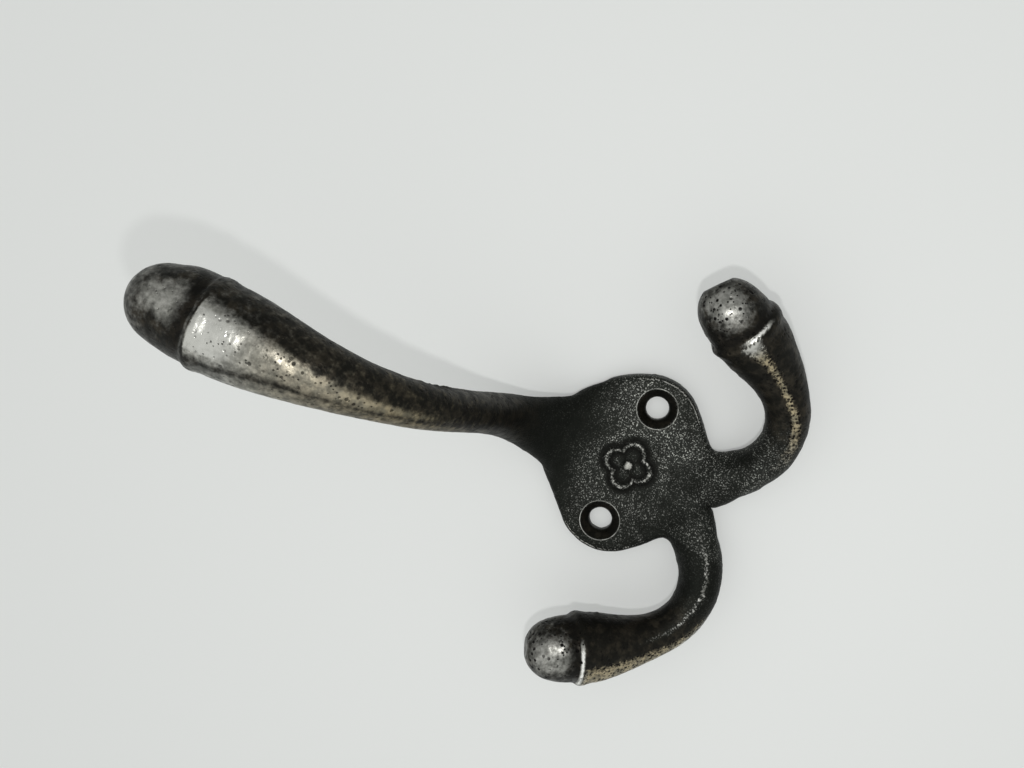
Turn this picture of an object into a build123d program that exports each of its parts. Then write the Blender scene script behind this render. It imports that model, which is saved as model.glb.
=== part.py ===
"""Cast-iron hat-and-coat hook: a lozenge back plate, one long hat arm and two coat hooks.

Frame: +X to the right, +Z up, the wall is the plane y = 0 and the hook stands out to -Y.
The origin lies on the back face, midway between the two screw holes.  Sizes are in millimetres
and angles in degrees.
"""
from build123d import *
from math import atan2, cos, degrees, radians, sin
import os

# Back plate
plate_t = 4.0                # thickness
plate_diag = 25.6            # half diagonal of the lozenge, before its corners are rounded
plate_corner_r = 11.5        # rounding of the left and right corners
plate_draft = 6.0            # side walls lean in towards the front
plate_edge_r = 1.1           # rounded front edge
plate_top = 17.0             # flat ends above and below the hole line, inside the arms' roots
plate_foot = 16.0

# Screw holes
hole_spacing = 27.6
hole_d = 5.0
countersink_d = 8.7
countersink_angle = 90

# Hat arm: its axis is an arc out of the plate, a straight run, and an arc back towards upright
hat_rise = 71.0              # collar above the hole line
hat_reach = 59.9             # collar's middle out from the wall
hat_start_z = 5.0            # where the axis leaves the middle of the plate
hat_root_bend_r = 25.0
hat_top_bend_r = 33.0
hat_lean = 70.0              # steepest angle away from the wall
hat_tilt = 9.0               # angle away from the wall that is left at the collar
hat_root_half = 13.0         # half width of the flattened root inside the plate
hat_neck_r = 4.1             # thinnest radius, in the middle of the straight run
hat_collar_r = 8.1
hat_swell_delay = 1.9        # 1 swells evenly from the neck to the collar, and more swells later

# Coat hooks: each axis is a U in a leaning plane, from the foot of the plate to the collar
coat_span = 36.8             # collar's middle to either side of the origin
coat_collar_z = -7.2
coat_reach = 16.5            # collar's middle out from the wall
coat_bend_x = 19.0           # lowest point of the axis
coat_bend_z = -24.8
coat_bend_reach = 7.6
coat_bend_lift = 14.0        # the axis leans away from the wall there
coat_root_x = 2.6            # start of the axis, inside the plate
coat_root_z = -12.0
coat_root_angle = 58.0       # way down from level at the start
coat_root_lift = 8.5         # and away from the wall
coat_root_half = 6.4         # half width of the flattened root
coat_round_along = 18.0      # along the axis, the root is round from here on
coat_neck_along = 29.0       # and the arm is thinnest here
coat_neck_r = 4.4
coat_collar_r = 7.5
coat_outward = 24.0          # the end turns away from upright, to the side
coat_forward = 23.0          # and away from the wall
coat_swell_delay = 1.25

# Ends: a collar with a rounded rim, a notch and an acorn
rim_r = 1.1                  # rounding of the collar's rim, and the depth of the notch above it
notch_w = 0.4
hat_acorn_step = 0.6         # the acorn's base is this much smaller than the collar, all round
hat_acorn_taper = 0.9        # and its domed tip is this much smaller in radius than its base
hat_acorn_h = 13.9           # collar's face to tip
coat_acorn_step = 0.8
coat_acorn_taper = 0.5
coat_acorn_h = 11.1

# Sections of an arm are this far apart, and straight between them
section_gap = 3.2


def section_plane(path, along):
    """The plane square to a path, at a length along it, with its x axis as level as it goes."""
    here = path.position_at(along, PositionMode.LENGTH)
    ahead = path.tangent_at(along, PositionMode.LENGTH)
    level = ahead.cross(Vector(1, 0, 0)).cross(ahead)
    return Plane(origin=here, x_dir=level, z_dir=ahead)


def quarter_sine(share):
    """0 to 1 as the share goes from 0 to 1, level at the end."""
    return sin(radians(90) * min(share, 1))


def arm(path, round_along, neck_along, root_half, neck_r, collar_r, swell_delay):
    """Loft an arm: flat ellipses in the root grow round, and circles swell up to the collar."""
    sections = []
    root_steps = round(neck_along / section_gap)
    for step in range(root_steps):
        along = neck_along * step / root_steps
        flare = (1 - step / root_steps) ** 2
        half_width = neck_r + (root_half - neck_r) * flare
        half_depth = plate_t / 2 + (neck_r - plate_t / 2) * quarter_sine(along / round_along)
        with BuildSketch(section_plane(path, along)) as section:
            Ellipse(half_width, half_depth)
        sections.append(section.sketch)
    swell_length = path.length - neck_along
    swell_steps = round(swell_length / section_gap)
    for step in range(swell_steps + 1):
        swell = quarter_sine((step / swell_steps) ** swell_delay) ** 2
        along = neck_along + swell_length * step / swell_steps
        with BuildSketch(section_plane(path, along)) as section:
            Circle(neck_r + (collar_r - neck_r) * swell)
        sections.append(section.sketch)
    loft(sections, ruled=True)


def finial(path, collar_r, acorn_step, acorn_taper, acorn_h):
    """Turn the collar's rim, the notch and the acorn about the end of an arm."""
    end = section_plane(path, path.length)
    rim = [
        (collar_r - rim_r * (1 - cos(radians(angle))), rim_r * sin(radians(angle)))
        for angle in (0, 45, 90)
    ]
    acorn_r = collar_r - acorn_step
    tip_r = acorn_r - acorn_taper
    # the side's arc starts square to the notch and runs smoothly into the tip's
    tip_rise = acorn_h - tip_r - rim_r - notch_w
    side_r = (acorn_r**2 + tip_rise**2 - tip_r**2) / (2 * acorn_taper)
    side_turn = degrees(atan2(tip_rise, side_r - acorn_r))
    with BuildSketch(Plane(origin=end.origin, x_dir=end.x_dir, z_dir=-end.y_dir)) as profile:
        with BuildLine():
            Polyline((0, 0), *rim, (acorn_r, rim_r + notch_w))
            side = JernArc((acorn_r, rim_r + notch_w), (0, 1), side_r, side_turn)
            tip = JernArc(side @ 1, side % 1, tip_r, 90 - side_turn)
            Line(tip @ 1, (0, 0))
        make_face()
    revolve(profile.sketch, axis=Axis(end.origin, end.z_dir))


# The plate, without its holes
with BuildPart() as plate:
    with BuildSketch(Plane.XZ):
        with BuildLine():
            Polyline(
                (plate_diag - plate_top, plate_top),
                (plate_diag, 0),
                (plate_diag - plate_foot, -plate_foot),
                (plate_foot - plate_diag, -plate_foot),
                (-plate_diag, 0),
                (plate_top - plate_diag, plate_top),
                close=True,
            )
        make_face()
        columns = vertices().group_by(Axis.X)
        fillet(columns[0] + columns[-1], plate_corner_r)
    extrude(amount=plate_t, taper=plate_draft)
    fillet(faces().sort_by(Axis.Y)[0].edges(), plate_edge_r)

# The hat arm, whose straight run is as long as the rise and the reach leave it
with BuildPart() as hat_arm:
    lean = radians(hat_lean)
    tilt = radians(hat_tilt)
    rise_of_bends = hat_root_bend_r * sin(lean) + hat_top_bend_r * (sin(lean) - sin(tilt))
    reach_of_bends = hat_root_bend_r * (1 - cos(lean)) + hat_top_bend_r * (cos(tilt) - cos(lean))
    rise_left = hat_rise - hat_start_z - rise_of_bends
    reach_left = hat_reach - plate_t / 2 - reach_of_bends
    turn = sin(lean - tilt)
    straight_run = (reach_left * cos(tilt) - rise_left * sin(tilt)) / turn
    end_run = (rise_left * sin(lean) - reach_left * cos(lean)) / turn
    # the axis is drawn in the plane x = 0 as (reach, rise)
    with BuildLine(Plane(origin=(0, 0, 0), x_dir=(0, -1, 0), z_dir=(-1, 0, 0))) as hat_axis:
        root = JernArc((plate_t / 2, hat_start_z), (0, 1), hat_root_bend_r, -hat_lean)
        run = Line(root @ 1, root @ 1 + straight_run * (root % 1))
        top = JernArc(run @ 1, run % 1, hat_top_bend_r, hat_lean - hat_tilt)
        Line(top @ 1, top @ 1 + end_run * (top % 1))
    hat_path = hat_axis.wire()
    hat_neck_along = root.length + straight_run / 2
    arm(
        hat_path, root.length, hat_neck_along,
        hat_root_half, hat_neck_r, hat_collar_r, hat_swell_delay,
    )
    finial(hat_path, hat_collar_r, hat_acorn_step, hat_acorn_taper, hat_acorn_h)

# One coat hook, on the right
with BuildPart() as coat_arm:
    down = radians(coat_root_angle)
    root_lift = radians(coat_root_lift)
    bend_lift = radians(coat_bend_lift)
    outward = radians(coat_outward)
    forward = radians(coat_forward)
    with BuildLine() as coat_axis:
        Spline(
            (coat_root_x, -plate_t / 2, coat_root_z),
            (coat_bend_x, -coat_bend_reach, coat_bend_z),
            (coat_span, -coat_reach, coat_collar_z),
            tangents=[
                (cos(down) * cos(root_lift), -sin(root_lift), -sin(down) * cos(root_lift)),
                (cos(bend_lift), -sin(bend_lift), 0),
                (sin(outward) * cos(forward), -sin(forward), cos(outward) * cos(forward)),
            ],
        )
    coat_path = coat_axis.wire()
    arm(
        coat_path, coat_round_along, coat_neck_along,
        coat_root_half, coat_neck_r, coat_collar_r, coat_swell_delay,
    )
    finial(coat_path, coat_collar_r, coat_acorn_step, coat_acorn_taper, coat_acorn_h)

# The casting
with BuildPart() as hook_casting:
    add(plate.part)
    add(hat_arm.part)
    add(coat_arm.part)
    mirror(coat_arm.part, about=Plane.YZ)
    # the back is flat against the wall
    split(bisect_by=Plane.XZ, keep=Keep.TOP)
    with Locations(Plane.XZ.offset(plate_t)):
        with Locations((-hole_spacing / 2, 0), (hole_spacing / 2, 0)):
            CounterSinkHole(hole_d / 2, countersink_d / 2, counter_sink_angle=countersink_angle)

os.makedirs("parts", exist_ok=True)
hook_casting.part.label = "hook_casting"
export_step(hook_casting.part, "parts/hook_casting.step")
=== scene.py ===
"""Cast-iron hat-and-coat hook, black from the mould and worn bright where it is handled.

Lengths are in millimetres and angles in degrees, in the frame of the casting: +X to the right, +Z
up, and the wall is the plane y = 0.  Meshes, lights and the camera are handed over in metres.
"""
import bmesh
import bpy
import numpy as np
from mathutils import Matrix, Vector, geometry, noise


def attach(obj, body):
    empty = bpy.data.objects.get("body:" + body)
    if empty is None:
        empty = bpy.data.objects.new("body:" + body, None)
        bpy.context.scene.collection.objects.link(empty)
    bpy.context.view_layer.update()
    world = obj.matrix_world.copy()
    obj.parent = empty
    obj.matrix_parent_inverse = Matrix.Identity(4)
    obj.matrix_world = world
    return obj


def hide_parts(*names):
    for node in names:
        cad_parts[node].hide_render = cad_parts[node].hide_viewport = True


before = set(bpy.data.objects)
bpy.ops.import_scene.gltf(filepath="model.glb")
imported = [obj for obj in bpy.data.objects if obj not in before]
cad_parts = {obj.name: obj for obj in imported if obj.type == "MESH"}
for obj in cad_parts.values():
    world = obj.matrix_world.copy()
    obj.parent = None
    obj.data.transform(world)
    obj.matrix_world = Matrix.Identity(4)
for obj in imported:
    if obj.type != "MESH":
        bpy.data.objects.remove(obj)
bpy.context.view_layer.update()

MM = 0.001


def leaning(to_the_right, forward):
    """A direction that leans from upright to the right, and then away from the wall."""
    right, away = np.radians((to_the_right, forward))
    return (np.sin(right) * np.cos(away), -np.sin(away), np.cos(right) * np.cos(away))


# The ends of the arms, as the casting has them: the middle of the collar's face, the way the acorn
# points, collar radius, acorn height, and the way that the acorn's bright side faces: worn, and
# also painted as lighter metal where the flash's highlight falls
HAT_END = dict(at=(0.0, -59.9, 71.0), points=leaning(0.0, 9.0), collar=8.1, acorn=13.9,
               bright=(0.30, -0.85, -0.25))
COAT_END = dict(at=(36.8, -16.5, -7.2), points=leaning(24.0, 23.0), collar=7.5, acorn=11.1,
                bright=(0.05, -0.97, 0.22))
COAT_END_LEFT = dict(COAT_END, at=(-36.8, -16.5, -7.2), points=leaning(-24.0, 23.0),
                     bright=(0.12, -0.985, 0.03))
ENDS = (HAT_END, COAT_END, COAT_END_LEFT)

# The hat arm's axis: its start inside the plate, and how far it leans from upright at some
# distances along it
HAT_START = (0.0, -2.0, 5.0)
HAT_LEANS = ((0, 30.54, 50.31, 85.44, 95.47), (0, 70, 70, 9, 9))
# The right coat hook's axis: its start, its lowest point and its end, with the way it heads there
COAT_PATH = (
    ((2.6, -2.0, -12.0), leaning(148.0, 8.5)),
    ((19.3, -7.7, -24.6), leaning(90.0, 14.0)),
    (COAT_END["at"], COAT_END["points"]),
)
COAT_HANDLES = ((10.9, 6.2), (7.1, 13.4))    # reach of the two handles of each of its curves
FINE_STEPS = 1001            # points on an axis as it is drawn
AXIS_POINTS = 16             # and as it is used, at even steps

HOLE_SPACING = 27.6
HOLES = [(-HOLE_SPACING / 2, 0.0), (HOLE_SPACING / 2, 0.0)]
HOLE_RIM_R = 4.35            # radius of the countersinks at the plate's face
PLATE_FACE = -4.0
ROOT_TOP = 15.0              # the plate ends and the hat arm begins at about this height
ROOT_SIDE = 9.0              # and the coat hooks begin about this far to the side
FRONT = (0.03, -0.99, 0.13)  # the way the hook faces

VOXEL = 0.38
SEED = Vector((3.1, 7.7, 1.9))
# The collars, acorns and countersinks keep their crisp edges, with a margin round them
END_MARGIN = 1.5
RIM_MARGIN = 0.9
# What starts this near the wall belongs to the flat back, and is put back onto it from this far
BACK_SKIN = 0.2
BACK_REACH = 0.6

# Rounds of smoothing, each of which moves a vertex at most halfway to the mean of its neighbours
CRISP_ROUNDS = 2
PLAIN_ROUNDS = 5
ARM_ROUNDS = 150
WELL_ROUNDS = 200
NOTCH_ROUNDS = 12
FILLET_ROUNDS = 12
CORNER_ROUNDS = 90
CROTCH_ROUNDS = 40

# Lumps of the sand's surface: height and size
SAND_LUMPS = ((0.06, 5.0), (0.03, 1.3))
# Between its sections each arm is flat.  These parts of the three arms are rounded: how far back
# from the collar, and how far from the axis
ROUNDED = ((95, 13.0), (37, 7.5), (37, 7.5))
# Where the plate flows into the arms, seen from the front: x, z, reach, and depth added at most
FILLETS = [
    (13.2, 10.8, 9.5, 1.2), (10.0, 18.0, 8.0, 1.0), (8.5, 25.5, 8.5, -0.8),
    (-12.5, 12.0, 7.0, 0.2), (-9.8, 18.0, 8.0, 0.85),
    (0.2, -19.6, 7.0, 1.7), (12.2, -14.4, 4.5, 0.1), (-12.2, -14.4, 4.5, -0.6),
    (-8.0, -25.8, 8.5, 0.45), (-13.0, -27.8, 7.5, 0.35),
]
# Corners to even out after that: x, z and reach
CORNERS = [(9.9, 16.9, 8.0), (-8.8, 16.4, 6.5)]
# The crotches between the coat hooks, and between the right one and the plate, are softer still
CROTCHES = [(0.2, -19.8, 4.0), (12.7, -14.3, 3.6)]
ROOT_REACH = 14.0            # fillets and corners go no further out from the wall than this
BACK_EDGE = 0.3              # and corners and crotches stay this far off it
# Flats on the acorns: which end, which way the flat faces, and how deep it cuts
FLATS = [
    (COAT_END, (0.62, -0.01, 0.785), 0.75),
    (COAT_END, (-0.106, -0.786, 0.608), 0.30),
    (COAT_END_LEFT, (-0.30, -0.30, 0.90), 0.35),
]
FLAT_CUT = 0.88              # a flat takes this much of what stands over it, so it stays crowned

# The raised motif: a lobed outline round a stud
MOTIF_R = 3.3
LOBE_RISE = 1.7
MOTIF_LIFT = 0.62
MOAT_DEPTH = 0.20

# Worn strips down the arms; the right coat hook's strip and the left one's row of grain specks
# are also painted highlight lines.  At some distances back from the collar: where round the arm the
# strip's middle is (0 in front, 1 on the outer side), half its width, and how worn it is
HAT_PATCH = dict(
    back=(-1, 0, 3, 6, 10, 14, 19, 25, 33, 38, 43),
    middle=(-0.02, -0.02, 0.0, 0.02, 0.02, 0.05, 0.15, 0.22, 0.22, 0.20, 0.2),
    half_width=(0.58, 0.58, 0.57, 0.55, 0.50, 0.42, 0.32, 0.24, 0.18, 0.16, 0.1),
    strength=(0, 0.86, 0.90, 0.78, 0.64, 0.58, 0.62, 0.70, 0.64, 0.45, 0),
    soft=0.24,
)
HAT_EDGE = dict(
    back=(-1, 1, 10, 15, 20, 40, 50, 64),
    middle=(1.0,) * 8,
    half_width=(0.24, 0.26, 0.36, 0.46, 0.54, 0.56, 0.5, 0.3),
    strength=(0, 0.44, 0.56, 0.54, 0.46, 0.38, 0.25, 0),
    soft=0.14,
)
# painted highlight: this strip follows the flash's highlight line down the arm, as lighter bronzed
# metal
RIGHT_STRIP_AND_HIGHLIGHT = dict(
    back=(0, 2, 6, 13, 17, 20, 25, 29, 34),
    middle=(-0.20, -0.17, -0.06, 0.02, 0.16, 0.30, 0.52, 0.62, 0.6),
    half_width=(0.30, 0.24, 0.13, 0.14, 0.16, 0.19, 0.24, 0.28, 0.3),
    strength=(0.5, 0.66, 0.74, 0.74, 0.74, 0.70, 0.58, 0.42, 0),
    soft=0.18,
)
RIGHT_COLLAR = dict(
    back=(0, 1.5, 3.5, 6),
    middle=(-0.17, -0.17, -0.15, -0.1),
    half_width=(0.26, 0.14, 0.05, 0.0),
    strength=(0.85, 0.75, 0.3, 0),
    soft=0.18,
)
LEFT_STRIP = dict(
    back=(0, 6, 14, 20, 26, 29),
    middle=(0.68, 0.68, 0.74, 0.84, 0.96, 1.0),
    half_width=(0.42, 0.40, 0.36, 0.30, 0.19, 0.08),
    strength=(0.66, 0.68, 0.68, 0.66, 0.55, 0),
    soft=0.22,
)
# painted highlight: a row of light grain specks along the flash's highlight line on the left hook's
# shank
LEFT_HIGHLIGHT_GRAINS = dict(
    back=(10, 17, 25, 30, 36, 42, 48),
    middle=(-0.08, -0.03, 0.14, 0.38, 0.5, 0.5, 0.5),
    half_width=(0.06, 0.08, 0.10, 0.12, 0.12, 0.12, 0.12),
    strength=(0, 0.9, 1.0, 1.0, 0.9, 0.7, 0),
    soft=0.16,
    to_root=True,
)
# How bare each acorn is all over, how much barer on its bright side, how wide that side is, and
# how much barer the tip is.  The bright side's extra bare metal is partly worn and partly a painted
# highlight, lighter metal where the flash's highlight falls
ACORN_WEAR_AND_HIGHLIGHT = ((0.13, 0.60, 0.80, 0.26), (0.13, 0.42, 0.70, 0.10), (0.14, 0.36, 0.62, 0.12))
# How bare each collar's rim is, and where round the arm the bare part begins and ends.  The bare
# rim is partly worn and partly a painted highlight line along the rim's front
RIM_WEAR_AND_HIGHLIGHT = ((0.3, -0.9, 0.95), (1.0, -0.55, 0.80), (1.0, -0.65, 1.2))
HAT_HANDLED = (78, 62)       # hands reach this far back along the hat arm
COAT_HANDLED = (31, 19)      # and along the coat hooks
# How much of the sand's light grain each coat hook has lost, and from how far back
COAT_GRAINS_LOST = ((0.15, 48), (0.80, 58))

# The iron's patterns: size, detail, roughness, and a shift that sets each apart
PATTERNS = dict(
    grain=(0.30, 2.0, 0.60, 0.0),
    middling=(0.55, 2.0, 0.60, 6.0),
    coarse=(1.0, 3.0, 0.60, 4.0),
    stain=(1.9, 4.0, 0.62, 12.0),
    cloud=(6.0, 3.0, 0.55, 9.0),
)
DARK_SKIN = (0.009, 0.010, 0.008, 1)
DUSTY_SKIN = (0.021, 0.0225, 0.0195, 1)
# light specks on the plate: partly grains of the skin, partly painted glints
GREY_SPECK_AND_GLINT = (0.46, 0.465, 0.425, 1)
BROWN_SKIN = (0.010, 0.0095, 0.0075, 1)
BROWN_PATCH = (0.034, 0.029, 0.021, 1)
BARE_IRON = (0.50, 0.495, 0.46, 1)
# the lightest metal: partly polish, partly painted highlight on the collars' rims and by the hat arm's
# collar
POLISHED_IRON_AND_HIGHLIGHT = (0.80, 0.79, 0.76, 1)
STAINED_IRON = (0.11, 0.11, 0.092, 1)
BRONZED = (0.385, 0.325, 0.21, 1)
PIT = (0.005, 0.0045, 0.004, 1)
METALLIC = 0.92
GRAIN_DEPTH = 0.17
GRAIN_STRENGTH = 0.9

# The wall behind the hook: its paint as the lamps light it, its paint and glow as the camera sees
# it, half its width, and its distance behind the plate
WALL_LIT = (0.755, 0.765, 0.75, 1)
WALL_SEEN = (0.515, 0.522, 0.512, 1)
WALL_GLOW = (0.22, 0.223, 0.218, 1)
WALL_HALF = 1500.0
WALL_GAP = 0.05
WALL_TOUCH = 0.3             # light passes through the wall to what is nearer than this

ROOM_COLOUR = (0.98, 1.0, 0.99, 1)
WINDOW_SIDE = (-0.709, -0.644, -0.256)
# brightness, from the side away from the window to the side towards it
ROOM_LEVELS = {"From Min": -0.4, "From Max": 1.0, "To Min": 0.52, "To Max": 1.0}

FLASH_AT = (13.9, -178.6, -4.0)
FLASH_R = 3.0
FLASH_POWER = 0.31           # watts
CAMERA_AT = (32.74, -176.52, 7.10)
CAMERA_RIGHT = (0.4290, 0.1908, -0.8829)
CAMERA_BACKWARDS = (0.1607, -0.9780, -0.1332)
LENS = 28.09
SENSOR = 36.0
NEAREST_SEEN = 5.0           # the camera sees nothing nearer than this


def evaluated(obj):
    """The mesh that an object's modifiers give."""
    depsgraph = bpy.context.evaluated_depsgraph_get()
    return bpy.data.meshes.new_from_object(obj.evaluated_get(depsgraph))


def remeshed(mesh, voxel):
    """A mesh rebuilt from even quads."""
    obj = bpy.data.objects.new("blank", mesh)
    bpy.context.scene.collection.objects.link(obj)
    remesh = obj.modifiers.new("even", "REMESH")
    remesh.mode = "VOXEL"
    remesh.voxel_size = voxel * MM
    result = evaluated(obj)
    bpy.data.objects.remove(obj)
    return result


def coordinates(mesh):
    """Vertex positions in millimetres."""
    co = np.empty(len(mesh.vertices) * 3)
    mesh.vertices.foreach_get("co", co)
    return co.reshape(-1, 3) / MM


def normals(mesh):
    """The way the surface faces at each vertex."""
    result = np.empty(len(mesh.vertices) * 3)
    mesh.vertex_normals.foreach_get("vector", result)
    return result.reshape(-1, 3)


def set_coordinates(mesh, co):
    """Put the vertices at positions in millimetres."""
    mesh.vertices.foreach_set("co", (co * MM).ravel())
    mesh.update()


def edges_of(mesh):
    """The two vertices of each edge."""
    edges = np.empty(len(mesh.edges) * 2, int)
    mesh.edges.foreach_get("vertices", edges)
    return edges.reshape(-1, 2)


def relaxed(values, edges, weight, rounds):
    """Move each row of values towards the mean of its neighbours, again and again."""
    count = len(values)
    first, second = edges.T
    degree = np.bincount(edges.ravel(), minlength=count)
    result = values.copy()
    for _ in range(rounds):
        for column in range(result.shape[1]):
            value = result[:, column]
            total = np.bincount(first, value[second], count)
            total += np.bincount(second, value[first], count)
            result[:, column] = value + weight * (total / degree - value)
    return result


def softened(values, edges, rounds=3):
    """One value for each vertex, with its steps softened."""
    return relaxed(values[:, None], edges, 0.5, rounds)[:, 0]


def smoothstep(low, high, value):
    """0 at low and 1 at high, level at both."""
    share = np.clip((value - low) / (high - low), 0, 1)
    return share * share * (3 - 2 * share)


def unit(direction):
    """A direction at length 1."""
    vector = np.array(direction, float)
    return vector / np.linalg.norm(vector)


def from_hole(co, hole):
    """Distance from the axis of a screw hole."""
    x, z = hole
    return np.hypot(co[:, 0] - x, co[:, 2] - z)


def nearness(co, x, z, reach):
    """1 on a line straight out from the wall, down to 0 at a reach from it."""
    return np.clip(1 - np.hypot(co[:, 0] - x, co[:, 2] - z) / reach, 0, 1)


def along_and_around(co, end):
    """Height above a collar's face, and distance from its axis."""
    offset = co - np.array(end["at"])
    axis = unit(end["points"])
    height = offset @ axis
    radius = np.linalg.norm(offset - np.outer(height, axis), axis=1)
    return height, radius


def near_end(co, end, below):
    """Whether each vertex is on an arm's end, down to a distance below its collar."""
    height, radius = along_and_around(co, end)
    return (height > -below) & (radius < end["collar"] + 1.5) & (height < end["acorn"] + 2)


def hat_axis():
    """The middle of the hat arm, from inside the plate to the collar's face."""
    distances, leans = HAT_LEANS
    along = np.linspace(0, distances[-1], FINE_STEPS)
    lean = np.radians(np.interp((along[1:] + along[:-1]) / 2, distances, leans))
    headings = np.stack([0 * lean, -np.sin(lean), np.cos(lean)], axis=1)
    return HAT_START + np.vstack([(0, 0, 0), np.cumsum(headings * along[1], axis=0)])


def coat_axis():
    """The middle of the right coat hook, from inside the plate to the collar's face."""
    line = []
    for start, end, reaches in zip(COAT_PATH, COAT_PATH[1:], COAT_HANDLES):
        first, second = Vector(start[0]), Vector(end[0])
        leave = first + reaches[0] * Vector(start[1])
        arrive = second - reaches[1] * Vector(end[1])
        line += geometry.interpolate_bezier(first, leave, arrive, second, FINE_STEPS)
    return np.array(line)


def even_points(line, count):
    """Points at even steps along a line."""
    gaps = np.linalg.norm(np.diff(line, axis=0), axis=1)
    along = np.concatenate([[0], np.cumsum(gaps)])
    places = np.linspace(0, along[-1], count)
    return np.stack([np.interp(places, along, column) for column in line.T], axis=1)


class Arm:
    """Where each vertex lies on an arm: how far back from the collar, and how far round it."""

    # pieces of line to each point of the axis, and vertices worked out at a time
    pieces = 8
    batch = 20000

    def __init__(self, co, end, axis, side=1):
        line = self.line_to_tip(end, axis * (side, 1, 1))
        lengths = np.linalg.norm(np.diff(line, axis=0), axis=1)
        back = lengths.sum() - end["acorn"] - np.concatenate([[0], np.cumsum(lengths)])
        nearest = np.empty(len(co), int)
        for start in range(0, len(co), self.batch):
            part = co[start:start + self.batch, None]
            nearest[start:start + self.batch] = np.sum((part - line) ** 2, axis=2).argmin(1)
        tangent = np.gradient(line, axis=0)
        tangent /= np.linalg.norm(tangent, axis=1)[:, None]
        front = FRONT - (tangent @ FRONT)[:, None] * tangent
        front /= np.linalg.norm(front, axis=1)[:, None]
        offset = co - line[nearest]
        self.radius = np.linalg.norm(offset, axis=1)
        self.height, _ = along_and_around(co, end)
        self.back = back[nearest]
        # 1 at the front of the arm and -1 behind it
        self.facing = np.sum(offset * front[nearest], axis=1) / self.radius
        # 1 on the outer side of a coat hook's bend, or on the left of the hat arm
        outer = side * np.cross(tangent, front)
        self.outer = np.sum(offset * outer[nearest], axis=1) / self.radius
        # how far the vertex is out to the arm's own side
        self.aside = side * co[:, 0]
        past_root = co[:, 2] > ROOT_TOP if end is HAT_END else self.aside > ROOT_SIDE
        self.here = past_root & (self.radius < end["collar"] + 2)

    def line_to_tip(self, end, axis):
        """The arm's axis, carried on straight to the acorn's tip, in short pieces."""
        tip = np.array(end["at"]) + end["acorn"] * unit(end["points"])
        points = np.vstack([axis, tip])
        places = np.linspace(0, len(points) - 1, self.pieces * len(points))
        return np.stack([np.interp(places, np.arange(len(points)), column) for column in points.T], 1)

    def band(self, back, middle, half_width, strength, soft, to_root=False):
        """A strip down the front of the arm, given at some distances back from the collar."""
        table = [np.interp(self.back, back, row) for row in (middle, half_width, strength)]
        distance = np.abs(self.outer - table[0]) - table[1]
        near_side = (self.facing > -0.2) & (self.back > -0.5)
        near_side &= (self.radius < 8) & (self.aside > 1) if to_root else self.here
        return table[2] * smoothstep(soft, -soft, distance) * near_side


def arms_of(co):
    """The hat arm, the right coat hook and the left one."""
    hat, coat = (even_points(line, AXIS_POINTS) for line in (hat_axis(), coat_axis()))
    return [Arm(co, HAT_END, hat, -1), Arm(co, COAT_END, coat), Arm(co, COAT_END_LEFT, coat, -1)]


def fractal(co, size, seed, octaves=3):
    """Smooth seeded noise of a feature size in millimetres, from about -1 to 1."""
    offset = SEED * seed
    return np.array([
        noise.fractal(Vector(point) / size + offset, 1.0, 2.0, octaves) for point in co
    ])


def casting():
    """The casting as it left the sand: fillets in its creases, and an uneven skin."""
    mesh = remeshed(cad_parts["hook_casting"].data.copy(), VOXEL)
    co = coordinates(mesh)
    lowest, highest = co.min(0), co.max(0)
    edges = edges_of(mesh)
    back = co[:, 1] > -BACK_SKIN
    ends = np.any([near_end(co, end, END_MARGIN) for end in ENDS], axis=0)
    rims = np.any([from_hole(co, hole) < HOLE_RIM_R + RIM_MARGIN for hole in HOLES], axis=0)
    crisp = ends | rims
    co = relaxed(co, edges, np.where(crisp, 0.5, 0.0), CRISP_ROUNDS)
    co = relaxed(co, edges, np.where(crisp, 0.0, 0.5), PLAIN_ROUNDS)
    co = rounded(mesh, co, edges, arms_of(co), crisp)
    co = filleted(mesh, co, edges, ends, rims)
    outward = normals(mesh)
    arms = arms_of(co)
    relief = skin(co) + parting_line(co, arms) + motif(co) + beads(arms) + lump(co) + slimmed(arms)
    co = with_facets(co + outward * relief[:, None])
    # the skin never stands past the casting's own box, and the back stays flat on the wall
    co = np.clip(co, lowest, highest)
    co[back & (co[:, 1] > -BACK_REACH), 1] = 0
    set_coordinates(mesh, co)
    level = relaxed(normals(mesh), edges, 0.5, 4)
    # the hollow mark is painted shade, which darkens the colour
    store(mesh, "hollow", crease_shade(mesh, co, edges, level, arms))
    for name, values in marks(co, level, arms).items():
        store(mesh, name, values)
    return mesh


def evened(mesh, co, edges, weight, rounds):
    """Smooth a part of the surface, and keep its thickness."""
    set_coordinates(mesh, co)
    outward = normals(mesh)
    even = relaxed(co, edges, weight, rounds)
    shrunk = np.sum((co - even) * outward, axis=1)
    shrunk = relaxed(shrunk[:, None], edges, weight, 2 * rounds + 20)
    return np.where(weight[:, None] > 0, even + outward * shrunk, co)


def rounded(mesh, co, edges, arms, crisp):
    """Take the flats between an arm's sections out of it."""
    on_arm = np.zeros(len(co), bool)
    for arm, (reach, thickness) in zip(arms, ROUNDED):
        on_arm |= arm.here & (arm.back < reach) & (arm.radius < thickness)
    return evened(mesh, co, edges, np.where(on_arm & ~crisp, 0.5, 0.0), ARM_ROUNDS)


def hollowness(co, edges, outward, rounds):
    """How far each vertex lies below the mean of its surroundings, in millimetres."""
    wide = relaxed(co, edges, 0.5, rounds)
    return np.sum((wide - co) * outward, axis=1)


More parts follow.
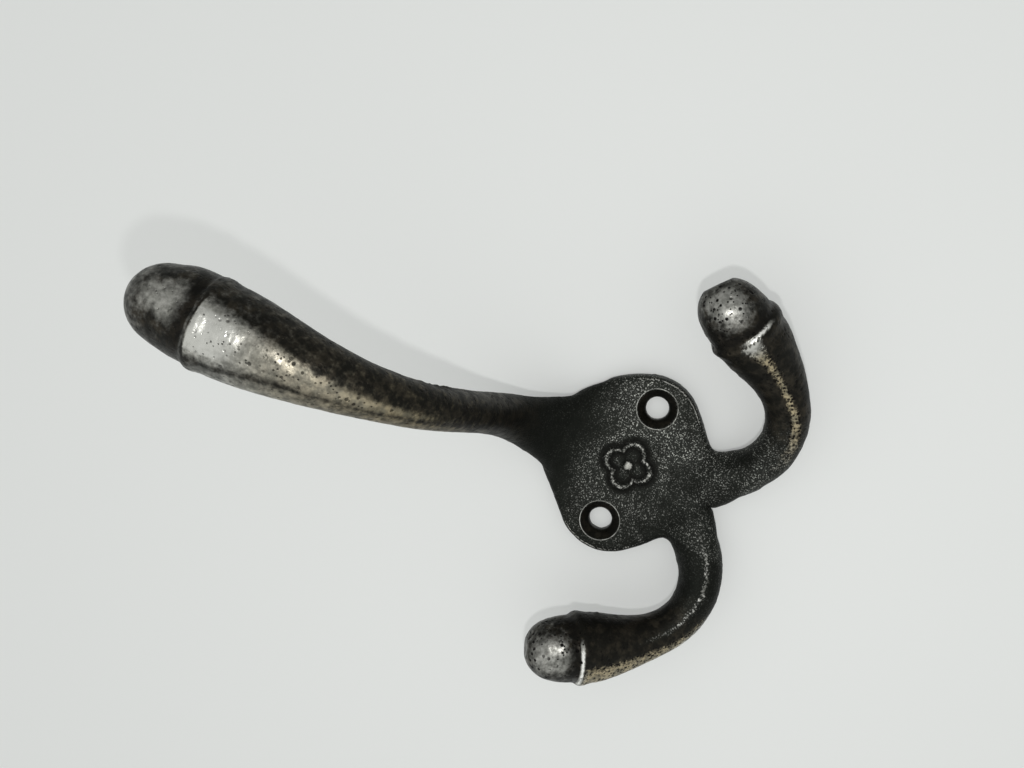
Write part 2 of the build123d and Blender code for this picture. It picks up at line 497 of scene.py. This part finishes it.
def filleted(mesh, co, edges, ends, rims):
    """Fill the creases between the arms and the plate, and a little of the notches."""
    set_coordinates(mesh, co)
    outward = normals(mesh)
    plain = ~(ends | rims)
    hollow = smoothstep(0.015, 0.06, hollowness(co, edges, outward, 12)) * plain
    well = (relaxed(hollow[:, None], edges, 1.0, 45)[:, 0] > 0.01) & plain
    wide = relaxed(co, edges, np.where(well, 0.5, 0.0), WELL_ROUNDS)
    rise = np.maximum(np.sum((wide - co) * outward, axis=1), 0) * well
    notch = relaxed(co, edges, np.where(ends, 0.5, 0.0), NOTCH_ROUNDS)
    rise += np.maximum(np.sum((notch - co) * outward, axis=1), 0) * ends
    co = co + outward * softened(rise, edges)[:, None]
    sideways = outward * (1, 0, 1)
    for x, z, reach, depth in FILLETS:
        share = nearness(co, x, z, reach)
        co = co + sideways * (depth * smoothstep(0, 1, share))[:, None]
        soft = (share > 0) & plain & (co[:, 1] > -ROOT_REACH)
        co = relaxed(co, edges, np.where(soft, 0.5, 0.0), FILLET_ROUNDS)
    for x, z, reach in CORNERS:
        share = nearness(co, x, z, reach) * plain
        share *= (co[:, 1] > -ROOT_REACH) & (co[:, 1] < -BACK_EDGE)
        co = evened(mesh, co, edges, 0.5 * smoothstep(0, 0.4, share), CORNER_ROUNDS)
    for x, z, reach in CROTCHES:
        share = nearness(co, x, z, reach) * (co[:, 1] < -BACK_EDGE)
        co = relaxed(co, edges, 0.5 * smoothstep(0, 0.6, share), CROTCH_ROUNDS)
    set_coordinates(mesh, co)
    return co


def skin(co):
    """Lumps of the sand's surface, in millimetres outward."""
    return sum(
        height * fractal(co, size, seed) for seed, (height, size) in enumerate(SAND_LUMPS, 1)
    )


def parting_line(co, arms):
    """The seam where the two halves of the mould met: a low ridge, ragged near the collars."""
    ragged = np.clip(0.35 + 1.1 * fractal(co, 1.6, 3, 2) + 0.6 * fractal(co, 6.0, 4, 2), 0, 1.3)
    hat, right, left = arms
    hat_height = np.interp(hat.back, (-4, 0, 34, 42, 60), (0, 0.10, 0.12, 0.40, 0.1))
    seam = edge_line(hat, 0.10) * hat_height
    for arm, height in ((right, 0.14), (left, 0.24)):
        inner = edge_line(arm, 0.24) * (arm.outer < 0)
        seam += inner * height * np.interp(arm.back, (-9, -4, 0, 8, 13), (0, 0.6, 1, 0.9, 0))
        seam += edge_line(arm, 0.10) * 0.08 * (arm.back > 0)
    return seam * ragged


def edge_line(arm, width):
    """1 along the two sides of an arm, midway between its front and its back."""
    return smoothstep(width, 0, np.abs(arm.facing)) * arm.here


def motif(co):
    """A raised four-lobed outline and a stud in the middle of the plate's face."""
    x, z = co[:, 0], co[:, 2]
    radius = np.hypot(x, z)
    from_outline = np.abs(radius - MOTIF_R - LOBE_RISE * np.abs(np.cos(2 * np.arctan2(z, x))))
    outline = smoothstep(0.95, 0.30, from_outline)
    stud = smoothstep(1.35, 0.70, radius)
    moat = smoothstep(2.6, 0.9, from_outline)
    on_face = smoothstep(PLATE_FACE + 0.9, PLATE_FACE + 0.4, co[:, 1]) * (radius < 9)
    return on_face * (MOTIF_LIFT * np.maximum(outline, stud) - MOAT_DEPTH * moat)


def beads(arms):
    """Draw each arm in just below its collar, which leaves the collar's rim proud."""
    return sum(
        -0.14 * smoothstep(4.0, 2.0, arm.back) * smoothstep(0.5, 1.4, arm.back) * arm.here
        for arm in arms
    )


def slimmed(arms):
    """The hat arm dips below its collar, and the coat hooks' sections differ a little."""
    hat, right, left = arms
    dip = np.interp(hat.back, (1.5, 8, 13, 20), (0, 1, 0.7, 0))
    change = -0.55 * hat.here * smoothstep(0.0, 0.8, hat.facing) * dip
    # both coat hooks are slimmer inside their bends, and the right one is fuller outside
    for arm in (right, left):
        inside = smoothstep(-0.2, -0.9, arm.outer) * arm.here
        change -= 0.40 * inside * np.interp(arm.back, (14, 26, 38, 44), (0, 1, 1, 0))
    outside = smoothstep(0.1, 0.8, right.outer) * right.here
    change += 0.30 * outside * np.interp(right.back, (7, 12, 20, 26), (0, 1, 1, 0))
    return change


def lump(co):
    """A swelling on the side of the hat arm's acorn, just above the notch."""
    height, radius = along_and_around(co, HAT_END)
    side = (co[:, 0] + 0.25 * (co[:, 1] + 60)) / HAT_END["collar"]
    near = smoothstep(5.2, 1.0, np.abs(height - 3.8)) * (radius < HAT_END["collar"] + 1)
    return 0.40 * near * smoothstep(0.35, 0.95, side) * (height > 0.4)


def with_facets(co):
    """Flats on the acorns, where they were fettled or have rubbed."""
    result = co.copy()
    for end, direction, depth in FLATS:
        height, radius = along_and_around(result, end)
        near = (height > 1.4) & (radius < end["collar"] + 1)
        facing = unit(direction)
        reach = result @ facing
        limit = reach[near].max() - depth
        over = np.where(near, np.maximum(reach - limit, 0), 0)
        result -= FLAT_CUT * over[:, None] * facing
    return result


def crease_shade(mesh, co, edges, level, arms):
    """Painted shade: darker in creases, in broad hollows and round the acorns just above the collars.
    """
    sharp = hollowness(co, edges, normals(mesh), 6)
    broad = hollowness(co, edges, level, 90)
    hollow = np.maximum(smoothstep(0.01, 0.10, sharp), 0.9 * smoothstep(0.05, 0.55, broad))
    # a countersink would count as one broad hollow, and gets less painted shade than that
    for hole in HOLES:
        hollow *= np.where(from_hole(co, hole) < HOLE_RIM_R, 0.30, 1.0)
    for arm in arms:
        # a band of painted shade on each acorn just above its collar
        beside_collar = smoothstep(1.0, 1.4, arm.height) * smoothstep(4.4, 1.6, arm.height)
        hollow = np.maximum(hollow, 0.70 * beside_collar * arm.here)
    return softened(hollow, edges)


def marks(co, outward, arms):
    """What use has done to each part of the surface, and where highlights and glints are painted as
    bare or light metal, each from 0 to 1.
    """
    hat, right, left = arms
    hat_solid, hat_bronze = worn_hat_arm(hat)
    right_solid, right_flecks_and_highlight, right_bronze = right_hook_wear_and_highlight(right)
    left_flecked, left_bronze, highlight_grains = left_hook_wear_and_highlight(left)
    bronze = np.maximum.reduce([hat_bronze, right_bronze, left_bronze])
    flecked = np.maximum(right_flecks_and_highlight, left_flecked)
    solid = np.maximum.reduce([hat_solid, right_solid, 0.42 * flecked])
    solid = with_worn_and_highlit_ends(solid, outward, arms)
    relief = motif(co)
    on_motif = 0.85 * smoothstep(0.25, 0.55, relief)
    edge = plate_edge(co, outward, arms)
    flecked = np.maximum.reduce([flecked, 0.56 * highlight_grains, edge, on_motif])
    handled, grain_and_glints = skins(co, relief, highlight_grains, arms)
    return dict(wear_and_highlight=solid, flecked=flecked, bronze=bronze, handled=handled, grain_and_glints=grain_and_glints,
                pitted=pitted(solid, handled, arms))


def worn_hat_arm(hat):
    """The hat arm's bright patch below its collar, which narrows to a bronzed strip."""
    between = np.interp(hat.back, (-0.5, 0.5, 30, 45), (0, 0.24, 0.20, 0))
    between *= smoothstep(0.2, 0.4, hat.outer) * (hat.facing > -0.2) * hat.here
    all_over = 0.13 * hat.here * smoothstep(75, 50, hat.back)
    worn = np.maximum.reduce([hat.band(**HAT_PATCH), hat.band(**HAT_EDGE), between, all_over])
    return worn, np.interp(hat.back, (6, 14, 30), (0.05, 0.6, 1.0)) * hat.here


def right_hook_wear_and_highlight(right):
    """The right coat hook's bronzed strip, which is bare metal next to the collar, and further down a
    painted highlight line as well as worn metal.
    """
    bronze = right.here * np.interp(right.back, (1.5, 4, 24, 31), (0, 1, 1, 0.3))
    return right.band(**RIGHT_COLLAR), right.band(**RIGHT_STRIP_AND_HIGHLIGHT), bronze


def left_hook_wear_and_highlight(left):
    """The left coat hook is worn low on its outer side, and has a row of bright grain specks which
    paint the flash's highlight line.
    """
    highlight_grains = left.band(**LEFT_HIGHLIGHT_GRAINS)
    lower = smoothstep(0.08, 0.30, left.outer) * smoothstep(0.5, 0.1, highlight_grains)
    lower *= 1 - 0.75 * smoothstep(0.80, 0.95, left.outer)
    bronze = left.here * lower * np.interp(left.back, (-0.5, 0.5), (0, 1))
    return left.band(**LEFT_STRIP), bronze, highlight_grains


def with_worn_and_highlit_ends(solid, outward, arms):
    """Add the bare metal of the acorns and of the collars' rims, partly worn and partly a painted
    highlight on each acorn's bright side and along each rim.
    """
    for arm, end, (level, gain, start, tip) in zip(arms, ENDS, ACORN_WEAR_AND_HIGHLIGHT):
        # painted highlight: barer, lighter metal on the side that faces the way of the flash's
        # highlight
        front = smoothstep(start, 0.99, outward @ unit(end["bright"]))
        away = smoothstep(1.0, 4.8, arm.height)
        level = level + tip * smoothstep(0.45, 0.95, arm.height / end["acorn"])
        solid = np.where(arm.here & (arm.height > 0), away * (level + gain * front), solid)
    for arm, end, (share, first, last) in zip(arms, ENDS, RIM_WEAR_AND_HIGHLIGHT):
        # painted highlight line: a thin band round the front of each rim
        rim = smoothstep(0.15, 0.45, arm.height) * smoothstep(1.15, 0.80, arm.height)
        rim *= smoothstep(first, first + 0.5, arm.outer) * smoothstep(last, last - 0.4, arm.outer)
        on_rim = arm.here & (arm.facing > 0) & (arm.radius > end["collar"] - 1.3)
        solid = np.maximum(solid, share * rim * on_rim)
    return solid


def plate_edge(co, outward, arms):
    """The rounded front edge of the plate, between the arms: flecks of bare metal, partly a worn edge
    and partly a painted highlight line along the bevel.
    """
    on_edge = (np.abs(co[:, 0]) > 9.5) & (co[:, 1] > PLATE_FACE - 0.3)
    for hole in HOLES:
        on_edge &= from_hole(co, hole) > HOLE_RIM_R + 1.5
    for arm in arms[1:]:
        on_edge &= ~(arm.here & (arm.radius < 5.5) & (arm.back < 46))
    # only the part of the bevel that faces one way, where the painted highlight line runs
    bevel = smoothstep(0.07, 0.01, np.abs(outward[:, 1] + 0.86))
    return 0.85 * on_edge * bevel * np.interp(co[:, 2], (-12, -8, 5, 9), (0, 1, 1, 0))


def skins(co, relief, highlight_grains, arms):
    """How smooth hands have made the black skin, and how much light grain the sand left on it, partly
    painted glints.
    """
    hat, right, left = arms
    handled = hat.here * smoothstep(*HAT_HANDLED, hat.back)
    grain_and_glints = np.interp(co[:, 2], (8, 13, 30), (1, 0.10, 0.0))
    # painted light: more light grain towards +X and less towards -X, so the plate reads brighter on its
    # +X side
    grain_and_glints *= np.interp(co[:, 0], (-12, -4, 6), (0.62, 0.72, 1.12))
    for arm, (lost, start) in zip((right, left), COAT_GRAINS_LOST):
        handled = np.maximum(handled, arm.here * smoothstep(*COAT_HANDLED, arm.back))
        grain_and_glints *= 1 - lost * arm.here * smoothstep(start, start - 14, arm.back)
    grain_and_glints = np.maximum(grain_and_glints, highlight_grains)
    handled *= 1 - highlight_grains
    # the motif's moat has no light grain, which paints shade into it, and the countersinks have none
    # either
    grain_and_glints *= 1 - 0.9 * smoothstep(-0.03, -0.16, relief)
    for hole in HOLES:
        distance = from_hole(co, hole)
        grain_and_glints *= smoothstep(HOLE_RIM_R - 0.6, HOLE_RIM_R, distance)
        handled = np.maximum(handled, 0.9 * smoothstep(HOLE_RIM_R, HOLE_RIM_R - 0.5, distance))
    return handled, grain_and_glints


def pitted(solid, handled, arms):
    """How many pits show: most on the coat hooks' acorns and the hat arm's bright patch."""
    hat, right, left = arms
    pits = np.where(hat.here, 0.35 * smoothstep(*HAT_HANDLED, hat.back), 0)
    pits = np.maximum(pits, 0.75 * hat.here * smoothstep(0.2, 0.6, solid) * (hat.height < 0))
    for arm in (right, left):
        pits = np.maximum(pits, arm.here * np.where(arm.height > 0, 1.0, 0.5) * handled)
    return pits


def store(mesh, name, values):
    """Give the mesh a value at each vertex, for its material to read."""
    attribute = mesh.attributes.new(name, "FLOAT", "POINT")
    attribute.data.foreach_set("value", np.ascontiguousarray(values, np.float32))


class Nodes:
    """A material's node tree, with a short way to add a node and wire it up."""

    def __init__(self, name):
        self.material = bpy.data.materials.new(name)
        self.material.use_nodes = True
        self.tree = self.material.node_tree
        self.shader = self.tree.nodes["Principled BSDF"]
        place = self.tree.nodes.new("ShaderNodeTexCoord")
        to_mm = self.add("ShaderNodeVectorMath", operation="SCALE")
        self.link(place.outputs["Object"], to_mm.inputs[0])
        to_mm.inputs["Scale"].default_value = 1 / MM
        self.place = to_mm.outputs[0]

    def add(self, kind, **settings):
        node = self.tree.nodes.new(kind)
        for name, value in settings.items():
            setattr(node, name, value)
        return node

    def link(self, output, socket):
        self.tree.links.new(output, socket)

    def feed(self, socket, value):
        """A socket takes another node's output or a plain number."""
        if isinstance(value, bpy.types.NodeSocket):
            self.link(value, socket)
        else:
            socket.default_value = value

    def noise(self, size, detail=3.0, rough=0.55, shift=0.0):
        """Noise of a size in millimetres."""
        node = self.add("ShaderNodeTexNoise")
        node.noise_dimensions = "4D"
        node.inputs["Scale"].default_value = 1 / size
        node.inputs["Detail"].default_value = detail
        node.inputs["Roughness"].default_value = rough
        node.inputs["W"].default_value = shift
        self.link(self.place, node.inputs["Vector"])
        return node.outputs["Fac"]

    def cells(self, size, shift=0.0):
        """Distance from the nearest of a scatter of points, about a size apart."""
        moved = self.add("ShaderNodeVectorMath", operation="ADD")
        self.link(self.place, moved.inputs[0])
        moved.inputs[1].default_value = (shift, 2 * shift, 3 * shift)
        node = self.add("ShaderNodeTexVoronoi")
        node.inputs["Scale"].default_value = 1 / size
        self.link(moved.outputs[0], node.inputs["Vector"])
        return node.outputs["Distance"]

    def attribute(self, name):
        node = self.add("ShaderNodeAttribute")
        node.attribute_name = name
        return node.outputs["Fac"]

    def math(self, operation, first, second=0.0, clamp=False):
        node = self.add("ShaderNodeMath", operation=operation, use_clamp=clamp)
        self.feed(node.inputs[0], first)
        self.feed(node.inputs[1], second)
        return node.outputs[0]

    def times(self, first, *others):
        """The product of some values."""
        for other in others:
            first = self.math("MULTIPLY", first, other)
        return first

    def plus(self, first, *others):
        """The sum of some values."""
        for other in others:
            first = self.math("ADD", first, other)
        return first

    def most(self, first, *others):
        """The largest of some values."""
        for other in others:
            first = self.math("MAXIMUM", first, other)
        return first

    def spread(self, value, amount):
        """A pattern's rise and fall about its middle, by an amount."""
        return self.times(self.math("SUBTRACT", value, 0.5), amount)

    def step(self, value, low, high, to_low=0.0, to_high=1.0):
        """A smooth step from one value to another."""
        node = self.add("ShaderNodeMapRange", interpolation_type="SMOOTHSTEP")
        self.feed(node.inputs["Value"], value)
        node.inputs["From Min"].default_value = low
        node.inputs["From Max"].default_value = high
        node.inputs["To Min"].default_value = to_low
        node.inputs["To Max"].default_value = to_high
        return node.outputs[0]

    def mix(self, share, first, second):
        """Blend two colours."""
        node = self.add("ShaderNodeMix", data_type="RGBA")
        self.feed(node.inputs["Factor"], share)
        self.feed(node.inputs["A"], first)
        self.feed(node.inputs["B"], second)
        return node.outputs["Result"]

    def bump(self, height, depth, strength):
        """Relief of a depth in millimetres."""
        node = self.add("ShaderNodeBump")
        node.inputs["Strength"].default_value = strength
        node.inputs["Distance"].default_value = depth * MM
        self.feed(node.inputs["Height"], height)
        return node.outputs["Normal"]


def metal_material():
    """Black-skinned iron that shows bare metal by the mesh's marks, broken up by pits, and darkened by
    painted shade in its hollows.
    """
    n = Nodes("cast_iron")
    names = ("wear_and_highlight", "flecked", "bronze", "handled", "hollow", "grain_and_glints", "pitted")
    mark = {name: n.attribute(name) for name in names}
    pattern = {name: n.noise(*settings) for name, settings in PATTERNS.items()}
    bare = bare_share(n, mark, pattern)
    pits = pit_share(n, mark)
    colour = n.mix(bare, black_skin(n, mark, pattern), bare_metal(n, mark, pattern))
    # pits, and the painted shade of the hollow mark, darken the colour towards PIT
    dark = n.most(pits, n.times(mark["hollow"], 0.85))
    n.link(n.mix(dark, colour, PIT), n.shader.inputs["Base Color"])
    n.shader.inputs["Metallic"].default_value = METALLIC
    n.link(dullness(n, mark, pattern, bare, pits), n.shader.inputs["Roughness"])
    height = n.times(pattern["grain"], n.step(mark["handled"], 0.0, 1.0, 1.0, 0.16))
    height = n.plus(height, n.times(pattern["coarse"], n.step(bare, 0.0, 1.0, 0.6, 0.25)))
    height = n.math("SUBTRACT", height, pits)
    n.link(n.bump(height, GRAIN_DEPTH, GRAIN_STRENGTH), n.shader.inputs["Normal"])
    return n.material


def black_skin(n, mark, pattern):
    """Black with light grains on the plate, partly painted glints, smoother and browner where hands go.
    """
    # no light grain or specks where shade is painted in the hollows
    unshaded = n.math("SUBTRACT", 1.0, mark["hollow"])
    patchy = n.times(n.step(pattern["cloud"], 0.36, 0.62, 0.2, 1.0), unshaded, mark["grain_and_glints"])
    speck = n.times(n.step(pattern["grain"], 0.54, 0.70), patchy)
    rough = n.mix(speck, n.mix(patchy, DARK_SKIN, DUSTY_SKIN), GREY_SPECK_AND_GLINT)
    smooth = n.mix(n.step(pattern["stain"], 0.42, 0.70), BROWN_SKIN, BROWN_PATCH)
    return n.mix(mark["handled"], rough, smooth)


def bare_share(n, mark, pattern):
    """Bare metal: soft-edged where it is polished, and flecks where it shows on the grains."""
    # the worn mark here also holds the painted highlights of the acorns and the collars' rims
    worn, flecked = mark["wear_and_highlight"], mark["flecked"]
    edge = n.plus(worn, n.spread(pattern["coarse"], 0.9))
    polished = n.times(n.step(edge, 0.08, 0.95), n.step(worn, 0.0, 0.15))
    ragged = n.plus(n.times(pattern["middling"], 0.65), n.times(pattern["grain"], 0.35))
    edge = n.plus(flecked, n.spread(ragged, 1.8))
    flecks = n.times(n.step(edge, 0.34, 0.80), n.step(flecked, 0.0, 0.20))
    return n.most(polished, flecks, hole_rings(n))


def bare_metal(n, mark, pattern):
    """Iron that is bronzed or stained where it is a little worn, and polished where it is most, which
    partly paints highlights on the collars' rims.
    """
    metal = n.mix(mark["bronze"], BARE_IRON, BRONZED)
    metal = n.mix(n.step(pattern["stain"], 0.36, 0.60, 0.62, 0.0), metal, STAINED_IRON)
    metal = n.mix(n.step(mark["wear_and_highlight"], 0.70, 0.85), metal, BARE_IRON)
    return n.mix(n.step(mark["wear_and_highlight"], 0.88, 0.98), metal, POLISHED_IRON_AND_HIGHLIGHT)


def pit_share(n, mark):
    """Pits of two sizes on handled iron, and dense ones on the bronzed strips."""
    pits = n.times(n.most(pit_layer(n, 1.35, 0.30, 2.0), pit_layer(n, 0.75, 0.27, 5.0)), mark["pitted"])
    dense = n.times(n.step(n.cells(0.75, 8.0), 0.43, 0.27), n.step(mark["flecked"], 0.1, 0.4))
    return n.most(pits, n.times(dense, mark["bronze"], 0.92))


def pit_layer(n, spacing, radius, shift):
    """Round pits, a spacing apart in millimetres, in patches."""
    hole = n.step(n.cells(spacing, shift), radius, radius * 0.55)
    return n.times(hole, n.step(n.noise(3.0, 2.0, 0.5, shift), 0.42, 0.56))


def dullness(n, mark, pattern, bare, pits):
    """Roughness: less where hands go and where metal is polished, more on bronze and in pits."""
    rough = n.plus(
        n.step(mark["handled"], 0.0, 1.0, 0.52, 0.41),
        n.times(bare, n.step(mark["wear_and_highlight"], 0.55, 0.9, -0.09, -0.17)),
        n.times(mark["bronze"], 0.11),
        n.times(pits, 0.3),
    )
    return n.math("ADD", rough, n.step(pattern["stain"], 0.3, 0.7, 0.08, -0.06), clamp=True)


def hole_rings(n):
    """A thin bright ring of bare metal round each countersink: partly a worn edge, partly a painted
    highlight.
    """
    split = n.add("ShaderNodeSeparateXYZ")
    n.link(n.place, split.inputs[0])
    # both holes are the same distance from the middle
    across = n.math("SUBTRACT", n.math("ABSOLUTE", split.outputs["X"]), HOLE_SPACING / 2)
    up = split.outputs["Z"]
    radius = n.math("SQRT", n.plus(n.times(across, across), n.times(up, up)))
    # painted highlight, broken up by noise
    ring = n.step(n.math("ABSOLUTE", n.math("SUBTRACT", radius, HOLE_RIM_R + 0.05)), 0.13, 0.02)
    on_face = n.step(split.outputs["Y"], PLATE_FACE + 0.45, PLATE_FACE + 0.30)
    broken = n.step(n.noise(3.0, 3.0, 0.6, 7.0), 0.35, 0.62, 0.35, 1.1)
    return n.times(ring, on_face, broken)


def wall_material():
    """Pale paint that the camera sees at an even tone, and that is clear from behind."""
    n = Nodes("backdrop")
    path = n.add("ShaderNodeLightPath")
    seen = path.outputs["Is Camera Ray"]
    paint = n.shader.inputs
    n.link(n.mix(seen, WALL_LIT, WALL_SEEN), paint["Base Color"])
    paint["Emission Color"].default_value = WALL_GLOW
    n.link(seen, paint["Emission Strength"])
    paint["Roughness"].default_value = 0.8
    paint["Specular IOR Level"].default_value = 0.2
    # the plate's back lies against the wall, and light still reaches it from behind
    touching = n.math("LESS_THAN", path.outputs["Ray Length"], WALL_TOUCH * MM)
    clear = n.most(n.add("ShaderNodeNewGeometry").outputs["Backfacing"], touching)
    one_sided = n.add("ShaderNodeMixShader")
    n.link(clear, one_sided.inputs[0])
    n.link(n.shader.outputs[0], one_sided.inputs[1])
    n.link(n.add("ShaderNodeBsdfTransparent").outputs[0], one_sided.inputs[2])
    n.link(one_sided.outputs[0], n.tree.nodes["Material Output"].inputs["Surface"])
    return n.material


def backdrop():
    """A pale wall behind the hook, which shows from the front only."""
    bm = bmesh.new()
    bmesh.ops.create_grid(bm, x_segments=1, y_segments=1, size=WALL_HALF * MM)
    mesh = bpy.data.meshes.new("backdrop")
    bm.to_mesh(mesh)
    bm.free()
    mesh.materials.append(wall_material())
    obj = bpy.data.objects.new("backdrop", mesh)
    upright = Matrix.Rotation(np.pi / 2, 4, "X")
    obj.matrix_world = Matrix.Translation((0, WALL_GAP * MM, 0)) @ upright
    bpy.context.scene.collection.objects.link(obj)


def room():
    """A plain room, a little brighter on the side that the window is on."""
    world = bpy.data.worlds.new("room")
    world.use_nodes = True
    tree = world.node_tree
    background = tree.nodes["Background"]
    background.inputs["Color"].default_value = ROOM_COLOUR
    towards = tree.nodes.new("ShaderNodeVectorMath")
    towards.operation = "DOT_PRODUCT"
    tree.links.new(tree.nodes.new("ShaderNodeTexCoord").outputs["Generated"], towards.inputs[0])
    towards.inputs[1].default_value = WINDOW_SIDE
    level = tree.nodes.new("ShaderNodeMapRange")
    level.interpolation_type = "SMOOTHSTEP"
    tree.links.new(towards.outputs["Value"], level.inputs["Value"])
    for name, value in ROOM_LEVELS.items():
        level.inputs[name].default_value = value
    tree.links.new(level.outputs[0], background.inputs["Strength"])
    bpy.context.scene.world = world


def flash():
    """The small lamp of the camera itself, beside the lens."""
    data = bpy.data.lights.new("flash", "POINT")
    data.energy = FLASH_POWER
    data.shadow_soft_size = FLASH_R * MM
    obj = bpy.data.objects.new("flash", data)
    obj.location = Vector(FLASH_AT) * MM
    bpy.context.scene.collection.objects.link(obj)


def camera():
    """The photograph's viewpoint, turned so that the hook lies almost on its side."""
    data = bpy.data.cameras.new("camera")
    data.lens = LENS
    data.sensor_width = SENSOR
    data.clip_start = NEAREST_SEEN * MM
    obj = bpy.data.objects.new("camera", data)
    backwards = Vector(CAMERA_BACKWARDS).normalized()
    up = backwards.cross(Vector(CAMERA_RIGHT)).normalized()
    right = up.cross(backwards)
    turn = Matrix((right, up, backwards)).transposed().to_4x4()
    obj.matrix_world = Matrix.Translation(Vector(CAMERA_AT) * MM) @ turn
    bpy.context.scene.collection.objects.link(obj)
    bpy.context.scene.camera = obj


camera()
mesh = casting()
piece = bpy.data.objects.new("casting", mesh)
bpy.context.scene.collection.objects.link(piece)
mesh.materials.clear()
mesh.materials.append(metal_material())
mesh.shade_smooth()
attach(piece, "root")
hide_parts("hook_casting")

backdrop()
bpy.context.scene.view_settings.view_transform = "Standard"
room()
flash()
